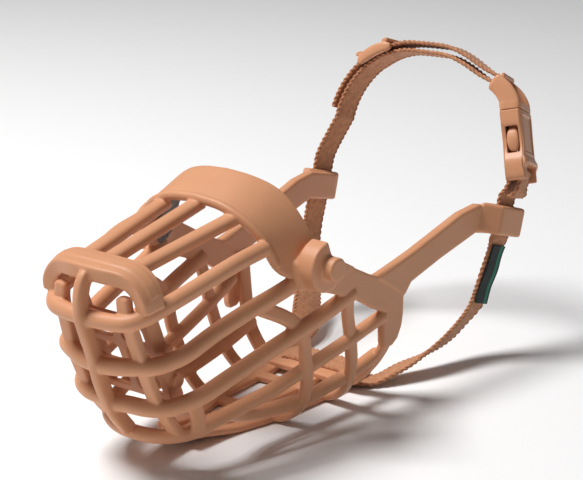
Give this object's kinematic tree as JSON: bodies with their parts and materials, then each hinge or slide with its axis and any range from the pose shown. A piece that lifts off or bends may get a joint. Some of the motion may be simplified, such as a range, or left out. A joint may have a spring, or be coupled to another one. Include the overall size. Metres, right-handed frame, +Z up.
{
  "type": "dog muzzle",
  "caption": "Moulded basket muzzle for a dog with a padded nose bridge, chin webbing and an adjustable neck strap with a side release buckle.",
  "frame": {"origin": "underside of the floor strip, in the mirror plane of the basket, under the middle of the rear hoop", "axes": "+Z up, -Y towards the nose end, +X to the side with the buckle"},
  "size_m": [0.1231, 0.2662, 0.1418],
  "materials": {
    "basket": "satin moulded polyethylene",
    "fittings": "smooth moulded plastic",
    "webbing": "ribbed woven webbing",
    "felt": "mottled grey felt",
    "label": "fine woven"
  },
  "bodies": {
    "basket": {"nose_cap": "basket", "top_bar_left": "basket", "top_bar_centre": "basket", "top_bar_right": "basket", "bridge_band": "basket", "front_grille": "basket", "upper_bar_left": "basket", "upper_bar_right": "basket", "side_grille_left": "basket", "side_grille_right": "basket", "cheek_arm_left": "basket", "cheek_arm_right": "basket", "floor_grille": "basket", "chin_plate": "basket", "inner_guard": "basket", "felt_pad": "felt", "felt_stud_left": "basket", "felt_stud_right": "basket", "chin_strap_right": "webbing", "chin_strap_left": "webbing", "strap_label": "label"},
    "neck": {"neck_strap_left": "webbing", "neck_strap_right": "webbing", "neck_strap_arch": "webbing", "strap_tail": "webbing", "buckle_socket": "fittings"},
    "slider": {"slider": "fittings"},
    "plug": {"buckle_plug": "fittings"},
    "prong_front": {"prong_front": "fittings"},
    "prong_rear": {"prong_rear": "fittings"}
  },
  "joints": [
    {"name": "neck_strap_swing", "type": "hinge", "parent": "basket", "child": "neck", "pos_m": [0, 0.09871, 0.07372], "axis": [1, 0, 0], "range_deg": [-20, 20]},
    {"name": "slider_travel", "type": "hinge", "parent": "neck", "child": "slider", "pos_m": [-0.0095, 0.10599, 0.09754], "axis": [0, -0.9563, 0.2924], "range_deg": [-5, 25]},
    {"name": "buckle_release", "type": "slide", "parent": "neck", "child": "plug", "axis": [-0.3057, 0.2784, 0.9105], "range_m": [0, 0.02], "deforming": ["neck_strap_arch"]},
    {"name": "prong_front_squeeze", "type": "hinge", "parent": "plug", "child": "prong_front", "pos_m": [0.04821, 0.1048, 0.11553], "axis": [0.9238, 0.3181, 0.2129], "range_deg": [0, 8], "stiffness_Nm_per_rad": 0.2},
    {"name": "prong_rear_squeeze", "type": "hinge", "parent": "plug", "child": "prong_rear", "pos_m": [0.04517, 0.11676, 0.11085], "axis": [-0.9238, -0.3181, -0.2129], "range_deg": [0, 8], "stiffness_Nm_per_rad": 0.2}
  ],
  "couplings": [
    {"joint": "prong_rear_squeeze", "follows": "prong_front_squeeze", "ratio": 1}
  ]
}
